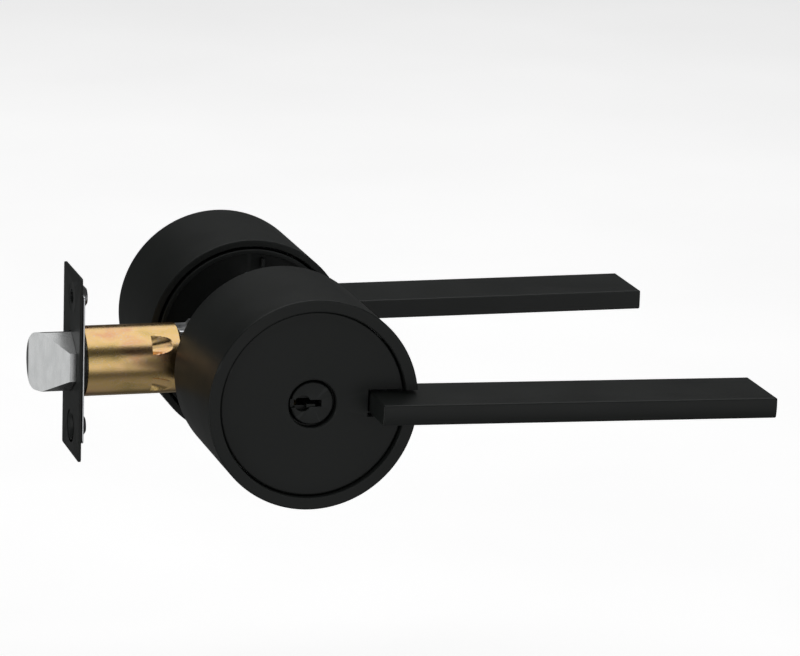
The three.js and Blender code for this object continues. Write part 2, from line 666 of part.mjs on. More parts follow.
function latchSpring() {
  const { radius, wire, from, to, turns } = LATCH_SPRING;
  const perTurn = 9;
  const count = turns * perTurn;
  const points = [];
  for (let i = 0; i <= count; i++) {
    const angle = (i / count) * turns * 2 * Math.PI;
    const x = from + ((to - from) * i) / count;
    points.push(new THREE.Vector3(x, radius * Math.cos(angle), radius * Math.sin(angle)));
  }
  return wireAlong(points, wire, count);
}

// The turning piece in the latch case. Each arm leans towards the bolt, one up and one down.
function hub() {
  const { length, half, thickness, tip, lean } = HUB_ARM;
  const barrel = rod(HUB.radius, HUB.from, HUB.to, ROUND);
  const arms = [1, -1].map((side) => {
    const turn = THREE.MathUtils.degToRad(-side * (90 + lean));
    const arm = new THREE.BoxGeometry(length, 2 * half, thickness).translate(length / 2, 0, 0);
    const end = rodGeometry(tip, -half, half, 12).translate(length, 0, 0);
    return joined(solid(arm.rotateY(turn)), solid(end.rotateY(turn)));
  });
  const hole = box(both(SOCKET / 2), [HUB.from - OVER, HUB.to + OVER], both(SOCKET / 2));
  return cut(joined(barrel, ...arms), hole);
}

function spindle() {
  const bar = box(both(SPINDLE.size / 2), both(SPINDLE.half), both(SPINDLE.size / 2));
  return cut(bar, rod(SPINDLE.bore, -SPINDLE.half - OVER, SPINDLE.half + OVER));
}

// The outline of the latch case, drawn in by a wall's thickness, its end by the tube left where it is.
function caseOutline(inset) {
  const { from, flareFrom, flareTo, to, low, high, corner } = CASE;
  const start = inset > 0 ? from - OVER : from;
  const upper = [
    [start, CASE_NECK.half - inset],
    [CASE_NECK.to, CASE_NECK.half - inset],
    [CASE_NECK.slopeTo, low - inset],
    [flareFrom, low - inset],
    [flareTo, high - inset],
    [to - corner - inset, high - inset],
    [to - inset, high - corner - inset],
  ];
  const lower = upper.map(([x, z]) => [x, -z]).reverse();
  return [...upper, ...lower].map(([x, z]) => new THREE.Vector2(x, z));
}

// One pressed half of the latch case: the half with the given outer face, up to the seam.
function caseHalf(face) {
  const seam = CASE_LAYER.seam + Math.sign(face) * (GAP / 2);
  const [from, to] = face < 0 ? [face, seam] : [seam, face];
  const { wall } = CASE_LAYER;
  const inward = face < 0 ? [face + wall, seam + OVER] : [seam - OVER, face - wall];
  const shell = cut(plateY(caseOutline(0), from, to), plateY(caseOutline(wall), ...inward));
  const rivetHole = (x) => rodAt(x, 0, RIVET.radius + GAP, from - OVER, to + OVER);
  const journalHole = rod(CASE_LAYER.hole, from - OVER, to + OVER, ROUND);
  return cut(shell, journalHole, ...Object.values(RIVET.at).map(rivetHole));
}

function caseRivet(x) {
  const [low, high] = [CASE_LAYER.outerFace - GAP, CASE_LAYER.innerFace + GAP];
  const shank = rodAt(x, 0, RIVET.radius, low - GAP, high + GAP, COARSE);
  const heads = [[low - RIVET.headDepth, low], [high, high + RIVET.headDepth]];
  return joined(shank, ...heads.map(([from, to]) => rodAt(x, 0, RIVET.head, from, to)));
}

// ---------------------------------------------------------------- assembly

const lockset = new THREE.Group();
lockset.name = "lever_lockset";

function place(parent, name, finish, made, mirrored = false) {
  const material = new THREE.MeshStandardMaterial(FINISH[finish]);
  const mesh = new THREE.Mesh(geometryOf(made, mirrored), material);
  mesh.name = name;
  parent.add(mesh);
}

// The drum, disc, lever and core of one handle, with the screws that hold them together.
function placeHandle(parent, side, core) {
  const mirrored = side === "outer";
  place(parent, `${side}_drum`, "blackPaint", drum(), mirrored);
  place(parent, `${side}_face_disc`, "blackPaint", faceDisc(), mirrored);
  place(parent, `${side}_lever`, "blackPaint", lever(), mirrored);
  place(parent, `${side}_core`, "castZinc", core, mirrored);
  LEVER_SCREW.at.forEach((x, index) => {
    place(parent, `${side}_lever_screw_${index + 1}`, "brightZinc", leverScrew(x), mirrored);
  });
  place(parent, `${side}_set_screw`, "blackPaint", setScrew(), mirrored);
}

// What stays still on one face of the door.
function placeFixedSide(side) {
  const mirrored = side === "outer";
  place(lockset, `${side}_mount_cup`, "blackPaint", mountCup(), mirrored);
  place(lockset, `${side}_bearing_sleeve`, "brightZinc", bearingSleeve(), mirrored);
  place(lockset, `${side}_return_spring`, "springSteel", returnSpring(), mirrored);
}

function placeKeyCylinder(parent) {
  place(parent, "cylinder_housing", "blackPaint", cylinderHousing(), true);
  place(parent, "pin_cover", "brass", pinCover(), true);
  place(parent, "key_plug", "blackPaint", keyPlug(), true);
  place(parent, "plug_clip", "springSteel", plugClip(), true);
  place(parent, "key_tailpiece", "brightZinc", flatBar(), true);
  for (const index of pinIndexes) {
    place(parent, `key_pin_${index + 1}`, "brass", keyPin(index), true);
    place(parent, `driver_pin_${index + 1}`, "brass", driverPin(index), true);
  }
}

function placeThumbTurn(parent) {
  place(parent, "thumb_turn", "blackPaint", thumbTurn());
  place(parent, "thumb_clip", "springSteel", thumbClip());
  place(parent, "thumb_bar", "brightZinc", flatBar());
}

function placeLatch() {
  place(lockset, "faceplate", "blackPaint", faceplate());
  place(lockset, "backing_plate", "brightZinc", backingPlate());
  place(lockset, "tube_collar", "blackPaint", tubeRing(COLLAR.from, COLLAR.to));
  place(lockset, "latch_tube", "goldZinc", latchTube());
  place(lockset, "latch_case_outer", "brightZinc", caseHalf(CASE_LAYER.outerFace));
  place(lockset, "latch_case_inner", "brightZinc", caseHalf(CASE_LAYER.innerFace));
  for (const [name, x] of Object.entries(RIVET.at)) {
    place(lockset, `case_rivet_${name}`, "brightZinc", caseRivet(x));
  }
  place(lockset, "spring_seat", "brightZinc", springSeat());
  place(lockset, "latch_spring", "springSteel", latchSpring());
  place(lockset, "latch_bolt", "satinSteel", latchBolt());
  place(lockset, "drawbar", "brightZinc", drawbar());
  place(lockset, "hub", "castZinc", hub());
  place(lockset, "spindle", "brightZinc", spindle());
}

function placeFasteners() {
  for (const [name, side] of [["upper", 1], ["lower", -1]]) {
    place(lockset, `mount_post_${name}`, "brightZinc", mountPost(side));
    place(lockset, `through_screw_${name}`, "brightZinc", throughScrew(side));
  }
}

const outerHandle = new THREE.Group();
outerHandle.rotation.y = THREE.MathUtils.degToRad(OUTER_DROOP);
lockset.add(outerHandle);
placeHandle(outerHandle, "outer", outerCore());
place(outerHandle, "outer_neck_clip", "springSteel", neckClip(), true);
placeKeyCylinder(outerHandle);

const innerHandle = new THREE.Group();
lockset.add(innerHandle);
placeHandle(innerHandle, "inner", innerCore());
place(innerHandle, "inner_neck_clip", "springSteel", neckClip());
placeThumbTurn(innerHandle);

placeFixedSide("outer");
placeFixedSide("inner");
placeLatch();
placeFasteners();

export default lockset;
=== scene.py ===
"""Looks for a keyed lever lockset with a tubular spring latch.

Everything is in metres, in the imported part's own frame: the spindle lies along Y, the latch along X
and +Z is up. Finer pieces stand in for the faceted solids that show, and all that shows gets a
procedural material. A handle's pieces are drawn for the indoor side, where the distance out from
the middle of the door is +Y, and the outdoor ones are mirrored and droop a little.
"""

import json
import math

import bmesh
import bpy
from mathutils import Matrix, Vector


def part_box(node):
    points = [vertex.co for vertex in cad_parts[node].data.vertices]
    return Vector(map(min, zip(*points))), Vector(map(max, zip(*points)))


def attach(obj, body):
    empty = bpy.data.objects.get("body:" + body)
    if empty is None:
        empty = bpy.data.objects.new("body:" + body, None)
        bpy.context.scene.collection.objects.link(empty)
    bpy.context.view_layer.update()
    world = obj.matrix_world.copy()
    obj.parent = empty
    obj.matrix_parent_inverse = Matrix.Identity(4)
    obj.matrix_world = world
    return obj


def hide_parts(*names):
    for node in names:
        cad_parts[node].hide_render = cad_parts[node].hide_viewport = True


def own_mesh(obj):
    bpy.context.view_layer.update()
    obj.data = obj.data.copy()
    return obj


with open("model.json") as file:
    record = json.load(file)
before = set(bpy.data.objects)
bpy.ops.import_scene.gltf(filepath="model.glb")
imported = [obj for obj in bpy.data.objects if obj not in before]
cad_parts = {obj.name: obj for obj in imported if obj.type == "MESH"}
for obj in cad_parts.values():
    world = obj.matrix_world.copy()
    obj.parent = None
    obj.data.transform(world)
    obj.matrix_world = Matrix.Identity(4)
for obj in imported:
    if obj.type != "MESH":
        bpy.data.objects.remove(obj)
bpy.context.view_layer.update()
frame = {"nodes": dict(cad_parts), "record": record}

# ------------------------------------------------------------------ sizes

MM = 0.001
X, Y, Z = range(3)


def span(node, axis):
    """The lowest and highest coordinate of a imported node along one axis."""
    lowest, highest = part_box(node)
    return lowest[axis], highest[axis]


def middle(node, axis):
    """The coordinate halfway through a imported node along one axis."""
    lowest, highest = span(node, axis)
    return (lowest + highest) / 2


GAP = 0.3 * MM  # between touching pieces

drum_radius = span("inner_drum", Z)[1]
drum_edge, drum_face = span("inner_drum", Y)
drum_inner = drum_radius - 2.2 * MM
rim_inner = drum_radius - 3.75 * MM  # the rim round the disc is thicker than the drum's wall
rim_back = drum_face - 6.9 * MM

disc_radius = span("inner_face_disc", Z)[1]
disc_back, disc_face = span("inner_face_disc", Y)
disc_hole = 7.45 * MM

lever_start, lever_end = span("inner_lever", X)
lever_back, lever_front = span("inner_lever", Y)
lever_half = span("inner_lever", Z)[1]
outer_droop = math.asin((-span("outer_lever", Z)[0] - lever_half) / lever_end)

plug_radius = span("key_plug", X)[1]
plug_tail = -span("key_plug", Y)[1]
plug_face = -span("key_plug", Y)[0]
housing_radius = span("cylinder_housing", X)[1]
housing_back, housing_face = sorted(-y for y in span("cylinder_housing", Y))
screw_out = middle("inner_set_screw", Y)

cup_radius = span("inner_mount_cup", Z)[1]
cup_edge, cup_top = span("inner_mount_cup", Y)
post_height = middle("mount_post_upper", Z)

plate_face, plate_tip = span("faceplate", X)
backing_face, backing_tip = span("backing_plate", X)
screw_spacing = 41.3 * MM
bolt_tip, bolt_back = span("latch_bolt", X)
bolt_radius = 9.4 * MM
bolt_front = -8.0 * MM
bolt_flat_half = 4.5 * MM
tube_radius = span("latch_tube", Z)[1]
tube_start, tube_end = span("latch_tube", X)

MIRROR = Matrix.Scale(-1, 4, (0, 1, 0))
SIDES = {
    "inner": Matrix.Identity(4),
    "outer": Matrix.Rotation(outer_droop, 4, "Y") @ MIRROR,
}
TO_X = Matrix.Rotation(-math.pi / 2, 4, "Z")  # lays what is drawn along Y along X
TO_Z = Matrix.Rotation(math.pi / 2, 4, "X")  # and along Z

FINE = 160  # facets round what is large and shows
SMALL = 64  # facets round small pieces
SHARP = math.radians(32)  # faces that meet at more than this keep an edge
PAST = 1 * MM  # how far a cutter reaches beyond what it cuts


# ------------------------------------------------------------------ mesh tools


def rounded(corners, steps=5):
    """A closed outline from (u, v, radius) corners, each turned by an arc of its radius."""
    points = []
    for index, (u, v, radius) in enumerate(corners):
        here = Vector((u, v))
        if radius == 0:
            points.append((u, v))
            continue
        before = (Vector(corners[index - 1][:2]) - here).normalized()
        after = (Vector(corners[(index + 1) % len(corners)][:2]) - here).normalized()
        half = before.angle(after) / 2
        centre = here + (before + after).normalized() * radius / math.sin(half)
        start = here + before * radius / math.tan(half) - centre
        end = here + after * radius / math.tan(half) - centre
        sweep = start.angle(end)
        for step in range(steps + 1):
            share = step / steps
            turned = start * math.sin((1 - share) * sweep) + end * math.sin(share * sweep)
            points.append(tuple(centre + turned / math.sin(sweep)))
    return points


def bridge(mesh, near, far):
    """Faces between two rings of the same number of points, or between a ring and one point."""
    count = max(len(near), len(far))
    for i in range(count):
        j = (i + 1) % count
        corners = [near[i % len(near)], near[j % len(near)], far[j % len(far)], far[i % len(far)]]
        face = list(dict.fromkeys(corners))
        if len(face) > 2:
            mesh.faces.new(face)


def outwards(mesh):
    """mesh, with its faces turned outwards."""
    bmesh.ops.recalc_face_normals(mesh, faces=mesh.faces)
    return mesh


def lathe(profile, facets=FINE):
    """A closed profile of (radius, along) points turned round Y."""
    mesh = bmesh.new()
    rings = []
    for radius, along in profile:
        if radius < 1e-6:
            rings.append([mesh.verts.new((0, along, 0))])
            continue
        angles = [2 * math.pi * i / facets for i in range(facets)]
        points = [(radius * math.cos(a), along, radius * math.sin(a)) for a in angles]
        rings.append([mesh.verts.new(point) for point in points])
    for near, far in zip(rings, rings[1:] + rings[:1]):
        if len(near) > 1 or len(far) > 1:
            bridge(mesh, near, far)
    return outwards(mesh)


def rod(radius, start, end, facets=SMALL, edge=0.0):
    """A solid round bar along Y, its end edges rounded."""
    return lathe(rounded([(0, start, 0), (radius, start, edge), (radius, end, edge), (0, end, 0)], 3), facets)


def ring(inner, outer, start, end, edge, facets=FINE):
    """A tube along Y, its end edges rounded."""
    corners = [(inner, start), (outer, start), (outer, end), (inner, end)]
    return lathe(rounded([(r, y, edge) for r, y in corners], 3), facets)


def loft(rings):
    """A closed body through rings of (x, y, z) points, with a flat face on each end."""
    mesh = bmesh.new()
    made = [[mesh.verts.new(point) for point in ring_points] for ring_points in rings]
    for near, far in zip(made, made[1:]):
        bridge(mesh, near, far)
    mesh.faces.new(made[0])
    mesh.faces.new(made[-1])
    return outwards(mesh)


def slab(outline_at, start, end, edge, steps=4):
    """A bar along X. outline_at(inset) gives its (y, z) outline, drawn in by inset at the ends."""
    rings = []
    for step in range(steps + 1):
        turn = math.pi / 2 * step / steps
        inset = edge * (1 - math.sin(turn))
        rings.append([(start + edge * (1 - math.cos(turn)), y, z) for y, z in outline_at(inset)])
    for step in range(steps, -1, -1):
        turn = math.pi / 2 * step / steps
        inset = edge * (1 - math.sin(turn))
        rings.append([(end - edge * (1 - math.cos(turn)), y, z) for y, z in outline_at(inset)])
    return loft(rings)


def rectangle(half_y, half_z, corner, steps=6):
    """The outline of a rounded rectangle for slab."""

    def outline_at(inset):
        points = []
        for quarter in range(4):
            for step in range(steps + 1):
                angle = math.pi / 2 * (quarter + step / steps)
                side_y = 1 if quarter in (0, 3) else -1
                side_z = 1 if quarter in (0, 1) else -1
                reach = corner - inset
                y = side_y * (half_y - corner) + reach * math.cos(angle)
                z = side_z * (half_z - corner) + reach * math.sin(angle)
                points.append((y, z))
        return points

    return outline_at


def block(x, y, z, edge=0.0):
    """A box between three pairs of limits, its edges rounded if edge isn't 0."""
    mesh = bmesh.new()
    bmesh.ops.create_cube(mesh, size=1)
    size = [limits[1] - limits[0] for limits in (x, y, z)]
    centre = [(limits[1] + limits[0]) / 2 for limits in (x, y, z)]
    mesh.transform(Matrix.Translation(centre) @ Matrix.Diagonal((*size, 1)))
    if edge:
        bmesh.ops.bevel(mesh, geom=mesh.edges[:], offset=edge, segments=3, profile=0.5, affect="EDGES")
    return mesh


def moved(mesh, *matrices):
    """mesh, changed by each matrix in turn."""
    for matrix in matrices:
        mesh.transform(matrix)
    return outwards(mesh)


def loose_object(mesh):
    """A passing object, for a boolean modifier to work on."""
    data = bpy.data.meshes.new("loose")
    mesh.to_mesh(data)
    mesh.free()
    made = bpy.data.objects.new("loose", data)
    bpy.context.scene.collection.objects.link(made)
    return made


def boolean(mesh, operation, tools):
    """mesh, joined with or cut by each tool."""
    for tool in tools:
        whole, other = loose_object(mesh), loose_object(tool)
        modifier = whole.modifiers.new("boolean", "BOOLEAN")
        modifier.operation = operation
        modifier.solver = "EXACT"
        modifier.object = other
        evaluated = whole.evaluated_get(bpy.context.evaluated_depsgraph_get())
        result = bpy.data.meshes.new_from_object(evaluated)
        mesh = bmesh.new()
        mesh.from_mesh(result)
        bpy.data.meshes.remove(result)
        for used in (whole, other):
            data = used.data
            bpy.data.objects.remove(used)
            bpy.data.meshes.remove(data)
    return mesh


def carved(mesh, *tools):
    """mesh, less each tool."""
    return boolean(mesh, "DIFFERENCE", tools)


def joined(mesh, *tools):
    """mesh and each tool in one."""
    return boolean(mesh, "UNION", tools)


def piece(name, mesh, material, body, node=None, bevel=0.0):
    """A finished object that rides on a body and, if a node is named, stands for that node."""
    data = bpy.data.meshes.new(name)
    mesh.to_mesh(data)
    mesh.free()
    data.materials.append(material)
    data.shade_smooth()
    data.set_sharp_from_angle(angle=SHARP)
    made = bpy.data.objects.new(name, data)
    bpy.context.scene.collection.objects.link(made)
    if bevel:
        rounding = made.modifiers.new("rounding", "BEVEL")
        rounding.width = bevel
        rounding.segments = 3
        rounding.limit_method = "ANGLE"
        rounding.angle_limit = SHARP
    normals = made.modifiers.new("normals", "WEIGHTED_NORMAL")
    normals.keep_sharp = not bevel
    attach(made, body)
    if node:
        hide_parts(node)
    return made


# ------------------------------------------------------------------ materials


MIX_INPUTS, MIX_RESULT = (0, 6, 7), 2  # a mix node's sockets for the amount and for colours


class Finish:
    """A node material, built up from noises in the object's own coordinates."""

    def __init__(self, name, **constants):
        self.material = bpy.data.materials.new(name)
        self.material.use_nodes = True
        self.tree = self.material.node_tree
        self.surface = self.tree.nodes["Principled BSDF"]
        for socket, value in constants.items():
            self.surface.inputs[socket.replace("_", " ")].default_value = value
        self.place = self.node("ShaderNodeTexCoord").outputs["Object"]

    def node(self, kind, **inputs):
        """A new node, each named input linked to a socket or set to a value."""
        made = self.tree.nodes.new(kind)
        for socket, value in inputs.items():
            target = made.inputs[socket.replace("_", " ")]
            if isinstance(value, bpy.types.NodeSocket):
                self.tree.links.new(value, target)
            else:
                target.default_value = value
        return made

    def noise(self, size, detail=2.0, stretch=(1, 1, 1), distortion=0.0):
        """Noise whose features are about size across, and longer along an axis stretched over 1."""
        scale = [1 / (size * s) for s in stretch]
        mapping = self.node("ShaderNodeMapping", Vector=self.place, Scale=scale)
        noise = self.node("ShaderNodeTexNoise", Vector=mapping.outputs[0], Scale=1.0, Detail=detail)
        noise.inputs["Distortion"].default_value = distortion
        return noise.outputs["Fac"]

    def spread(self, value, low, high, start=0.3, end=0.7):
        """A value's middle stretch mapped to the numbers from low to high."""
        made = self.node("ShaderNodeMapRange", Value=value)
        for socket, number in zip(("From Min", "From Max", "To Min", "To Max"), (start, end, low, high)):
            made.inputs[socket].default_value = number
        return made.outputs["Result"]

    def colours(self, value, *stops):
        """A colour ramp through (position, (r, g, b)) stops."""
        made = self.node("ShaderNodeValToRGB", Fac=value)
        elements = made.color_ramp.elements
        while len(elements) < len(stops):
            elements.new(0.5)
        for element, (position, colour) in zip(elements, stops):
            element.position = position
            element.color = (*colour, 1)
        return made.outputs["Color"]

    def mixed(self, amount, first, second):
        """The first colour, going over to the second as the amount goes from 0 to 1."""
        made = self.node("ShaderNodeMix")
        made.data_type = "RGBA"
        for socket, value in zip(MIX_INPUTS, (amount, first, second)):
            if isinstance(value, bpy.types.NodeSocket):
                self.tree.links.new(value, made.inputs[socket])
            else:
                made.inputs[socket].default_value = value
        return made.outputs[MIX_RESULT]

    def edges(self, start=0.52, end=0.60):
        """0 on flat faces, rising to 1 on sharp outer edges."""
        pointiness = self.node("ShaderNodeNewGeometry").outputs["Pointiness"]
        return self.spread(pointiness, 0, 1, start, end)

    def bump(self, height, depth):
        """Makes the surface rise by up to depth where height is 1."""
        made = self.node("ShaderNodeBump", Height=height, Distance=depth)
        self.tree.links.new(made.outputs["Normal"], self.surface.inputs["Normal"])

    def link(self, **sockets):
        """Links values to the surface's sockets and hands over the finished material."""
        for socket, value in sockets.items():
            self.tree.links.new(value, self.surface.inputs[socket.replace("_", " ")])
        return self.material


def black_coat():
    """Satin black powder coat: faint green-grey cast, fine texture, edges lighter from wear and a painted
    highlight.
    """
    finish = Finish("black_coat", Specular_IOR_Level=0.3)
    cloud = finish.noise(18 * MM, 3)
    grain = finish.noise(0.35 * MM, 2)
    colour = finish.colours(cloud, (0.35, (0.0128, 0.0148, 0.0138)), (0.65, (0.0156, 0.0180, 0.0168)))
    # painted highlight and slight wear: the sharp outer edges are painted lighter
    worn_and_highlit_edges = finish.mixed(finish.edges(), colour, (0.030, 0.033, 0.032, 1))
    finish.bump(grain, 0.012 * MM)
    return finish.link(Base_Color=worn_and_highlit_edges, Roughness=finish.spread(cloud, 0.40, 0.47))


def gold_zinc():
    """Yellow dichromate on zinc: gold with drifting pink and olive, and grey specks."""
    finish = Finish("gold_zinc", Metallic=1.0)
    drift = finish.noise(7 * MM, 3, (1.8, 1, 1), 0.3)
    specks = finish.noise(0.5 * MM, 3)
    colour = finish.colours(
        drift,
        (0.30, (0.76, 0.42, 0.22)),
        (0.45, (0.82, 0.55, 0.25)),
        (0.56, (0.76, 0.52, 0.20)),
        (0.70, (0.56, 0.41, 0.15)),
    )
    dust = finish.spread(specks, 0, 0.55, 0.54, 0.70)
    mottled = finish.mixed(dust, colour, (0.70, 0.58, 0.52, 1))
    finish.bump(specks, 0.02 * MM)
    return finish.link(Base_Color=mottled, Roughness=finish.spread(drift, 0.20, 0.30))


def satin_steel():
    """Brushed steel, its fine scratches along Z."""
    finish = Finish("satin_steel", Metallic=1.0)
    scratches = finish.noise(0.16 * MM, 2, (1, 1, 40))
    cloud = finish.noise(2.2 * MM, 3, (1, 1, 2.5))
    colour = finish.colours(cloud, (0.35, (0.54, 0.55, 0.55)), (0.65, (0.60, 0.61, 0.61)))
    finish.bump(scratches, 0.004 * MM)
    return finish.link(Base_Color=colour, Roughness=finish.spread(scratches, 0.24, 0.33))


def bright_zinc():
    """Bright zinc plate, slightly cloudy."""
    finish = Finish("bright_zinc", Metallic=1.0)
    cloud = finish.noise(3 * MM, 4)
    colour = finish.colours(cloud, (0.35, (0.62, 0.64, 0.66)), (0.62, (0.82, 0.83, 0.84)))
    finish.bump(finish.noise(0.4 * MM, 3), 0.008 * MM)
    return finish.link(Base_Color=colour, Roughness=finish.spread(cloud, 0.26, 0.40))


def cast_zinc():
    """A grey die casting with a slightly pitted skin."""
    finish = Finish("cast_zinc", Metallic=1.0)
    cloud = finish.noise(5 * MM, 4)
    colour = finish.colours(cloud, (0.35, (0.30, 0.31, 0.32)), (0.65, (0.42, 0.43, 0.44)))
    finish.bump(finish.noise(0.5 * MM, 4), 0.05 * MM)
    return finish.link(Base_Color=colour, Roughness=finish.spread(cloud, 0.48, 0.60))


def spring_steel():
    """Oiled spring wire with drawing marks."""
    finish = Finish("spring_steel", Metallic=1.0)
    marks = finish.noise(0.5 * MM, 3)
    colour = finish.colours(marks, (0.35, (0.20, 0.20, 0.21)), (0.65, (0.33, 0.33, 0.34)))
    return finish.link(Base_Color=colour, Roughness=finish.spread(marks, 0.28, 0.42))


def brass():
    """Machined brass, a little dulled."""
    finish = Finish("brass", Metallic=1.0)
    cloud = finish.noise(2 * MM, 4)
    colour = finish.colours(cloud, (0.35, (0.58, 0.40, 0.14)), (0.65, (0.78, 0.58, 0.25)))
    finish.bump(finish.noise(0.3 * MM, 2), 0.006 * MM)
    return finish.link(Base_Color=colour, Roughness=finish.spread(cloud, 0.25, 0.38))


MATERIALS = {
    "black_coat": black_coat(),
    "gold_zinc": gold_zinc(),
    "satin_steel": satin_steel(),
    "bright_zinc": bright_zinc(),
    "cast_zinc": cast_zinc(),
    "spring_steel": spring_steel(),
    "brass": brass(),
}


def standing_for(node, mesh, slot, body, bevel=0.0):
    """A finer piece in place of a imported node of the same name."""
    return piece(f"{node}_fine", mesh, MATERIALS[slot], body, node, bevel)


# ------------------------------------------------------------------ handles


NOTCH_END = 0.7 * MM  # between the lever and the drum
NOTCH_SIDE = 1.1 * MM


def lever_notch():
    """The room that the lever's inner end has in the drum and the disc."""
    return block(
        (lever_start - NOTCH_END, drum_radius + PAST),
        (lever_back - GAP, drum_face + PAST),
        (-lever_half - NOTCH_SIDE, lever_half + NOTCH_SIDE),
    )


def below(mesh):
    """Something drawn along Y from the origin, pointed down at the set screw's place."""
    return moved(mesh, TO_Z.inverted(), Matrix.Translation((0, screw_out, 0)))


def drum(side):
    """The shell, with a rim in front, a notch for the lever and a hole for the set screw."""
    shell = lathe(rounded([
        (drum_radius, drum_edge, 0.3 * MM),
        (drum_radius, drum_face - MM, 0),
        (drum_radius, drum_face, 0.45 * MM),
        (drum_radius - MM, drum_face, 0),
        (rim_inner + 0.8 * MM, drum_face, 0),
        (rim_inner, drum_face, 0.3 * MM),
        (rim_inner, rim_back, 0),
        (drum_inner, rim_back, 0),
        (drum_inner, drum_edge, 0.3 * MM),
    ]))
    screw_hole = below(rod(SET_SCREW + GAP, rim_inner - PAST, drum_radius + PAST))
    mesh = carved(shell, lever_notch(), screw_hole)
    standing_for(f"{side}_drum", moved(mesh, SIDES[side]), "black_coat", f"{side}_handle")


def face_disc(side):
    """The recessed disc round the key plug or the turn button."""
    plate = lathe(rounded([
        (disc_hole, disc_back, 0),
        (disc_radius, disc_back, 0),
        (disc_radius, disc_face, 0.6 * MM),
        (disc_radius - 1.2 * MM, disc_face, 0),
        (disc_hole + 0.8 * MM, disc_face, 0),
        (disc_hole, disc_face, 0.35 * MM),
    ]))
    mesh = carved(plate, lever_notch())
    standing_for(f"{side}_face_disc", moved(mesh, SIDES[side]), "black_coat", f"{side}_handle")


LEVER_CROWN = 0.2 * MM  # how far the front bulges
LEVER_EDGE = 0.55 * MM


def lever_outline(inset):
    """The lever's (y, z) section: a rounded rectangle with a slightly crowned front."""
    corners = [
        (lever_front - LEVER_CROWN - inset, lever_half - inset),
        (lever_back + inset, lever_half - inset),
        (lever_back + inset, -lever_half + inset),
        (lever_front - LEVER_CROWN - inset, -lever_half + inset),
    ]
    outline = rounded([(y, z, max(LEVER_EDGE - inset, 0.05 * MM)) for y, z in corners])
    flat = lever_half - LEVER_EDGE
    bulge = []
    steps = 8
    for step in range(1, steps):
        height = flat * (2 * step / steps - 1)
        bulge.append((lever_front - inset - LEVER_CROWN * (height / flat) ** 2, height))
    return outline + bulge


def lever(side):
    """The flat blade."""
    mesh = slab(lever_outline, lever_start, lever_end, 0.5 * MM)
    standing_for(f"{side}_lever", moved(mesh, SIDES[side]), "black_coat", f"{side}_handle")


SET_SCREW = 1.9 * MM


def set_screw(side):
    """A headless screw with a six-sided socket, in the drum's underside."""
    bottom, top = sorted(-z for z in span("inner_set_screw", Z))
    body = rod(SET_SCREW, bottom, top, SMALL, 0.25 * MM)
    socket = rod(1.0 * MM, top - 2 * MM, top + PAST, 6)
    mesh = moved(below(carved(body, socket)), SIDES[side])
    standing_for(f"{side}_set_screw", mesh, "black_coat", f"{side}_handle")


CUP_WALL = 1.4 * MM
CUP_HOLE = 12.3 * MM
CUP_BOTTOM = cup_top - 1.6 * MM
CUP_SCREW_HOLE = 2.3 * MM
CUP_TAB = ((3.9 * MM, 4.9 * MM), (CUP_BOTTOM - 2 * MM, CUP_BOTTOM + 0.5 * MM), (23.4 * MM, 26.4 * MM))


def mount_cup(side):
    """The dish on the door's face, with the screw holes and a lanced tab."""
    dish = lathe(rounded([
        (cup_radius, cup_edge, 0.3 * MM),
        (cup_radius, cup_top, 0.8 * MM),
        (CUP_HOLE, cup_top, 0.2 * MM),
        (CUP_HOLE, CUP_BOTTOM, 0.2 * MM),
        (cup_radius - CUP_WALL, CUP_BOTTOM, 0.5 * MM),
        (cup_radius - CUP_WALL, cup_edge, 0.3 * MM),
    ], 4))
    holes = []
    for height in (post_height, -post_height):
        hole = rod(CUP_SCREW_HOLE, CUP_BOTTOM - PAST, cup_top + PAST)
        holes.append(moved(hole, Matrix.Translation((0, 0, height))))
    mesh = carved(joined(dish, block(*CUP_TAB, 0.2 * MM)), *holes)
    mirror = MIRROR if side == "outer" else Matrix.Identity(4)
    standing_for(f"{side}_mount_cup", moved(mesh, mirror), "black_coat", "lock_frame")


def handle(side):
    """What is alike on both sides of the door."""
    drum(side)
    face_disc(side)
    lever(side)
    set_screw(side)
    mount_cup(side)


# ------------------------------------------------------------------ key plug and turn button


JOURNAL = 4.5 * MM  # the plug's thinner tail
KEYWAY = (-5.2 * MM, 3.0 * MM)
KEYWAY_HALF = 1.1 * MM
EDGE_NOTCH = 1.3 * MM
KEY_MOUTH = 2.55 * MM
KEY_MOUTH_PLACE = Matrix.Translation((-2.9 * MM, 0, 0))
WARD = ((-1.5 * MM, 1.2 * MM), (plug_tail, plug_face - 0.5 * MM), (-1.4 * MM, -0.35 * MM))


def key_plug():
    """The plug, with a round mouth in its face, a warded slot for the key and a notch in its edge."""
    shoulder = plug_tail + 1.7 * MM
    body = lathe(rounded([
        (0, plug_tail, 0),
        (JOURNAL, plug_tail, 0.2 * MM),
        (JOURNAL, shoulder, 0),
        (plug_radius, shoulder, 0.2 * MM),
        (plug_radius, plug_face, 0.4 * MM),
        (0, plug_face, 0),
    ]), SMALL * 2)
    slot = block(KEYWAY, (plug_tail - PAST, plug_face + PAST), (-KEYWAY_HALF, KEYWAY_HALF))
    mouth = moved(rod(KEY_MOUTH, plug_face - 2.5 * MM, plug_face + PAST), KEY_MOUTH_PLACE)
    notch = block(
        (-plug_radius - PAST, -plug_radius + EDGE_NOTCH),
        (plug_face - MM, plug_face + PAST),
        (-EDGE_NOTCH, EDGE_NOTCH),
    )
    ward = block(*WARD, 0.1 * MM)
    mesh = moved(joined(carved(body, slot, mouth, notch), ward), SIDES["outer"])
    standing_for("key_plug", mesh, "black_coat", "plug")


HOUSING_BORE = 6.9 * MM
BIBLE_INSIDE = -7.2 * MM  # the side of the pins' block that meets the sleeve
BIBLE_FRONT = 56.4 * MM
BIBLE_HALF = 4.1 * MM
PIN_CHAMBER = 1.35 * MM


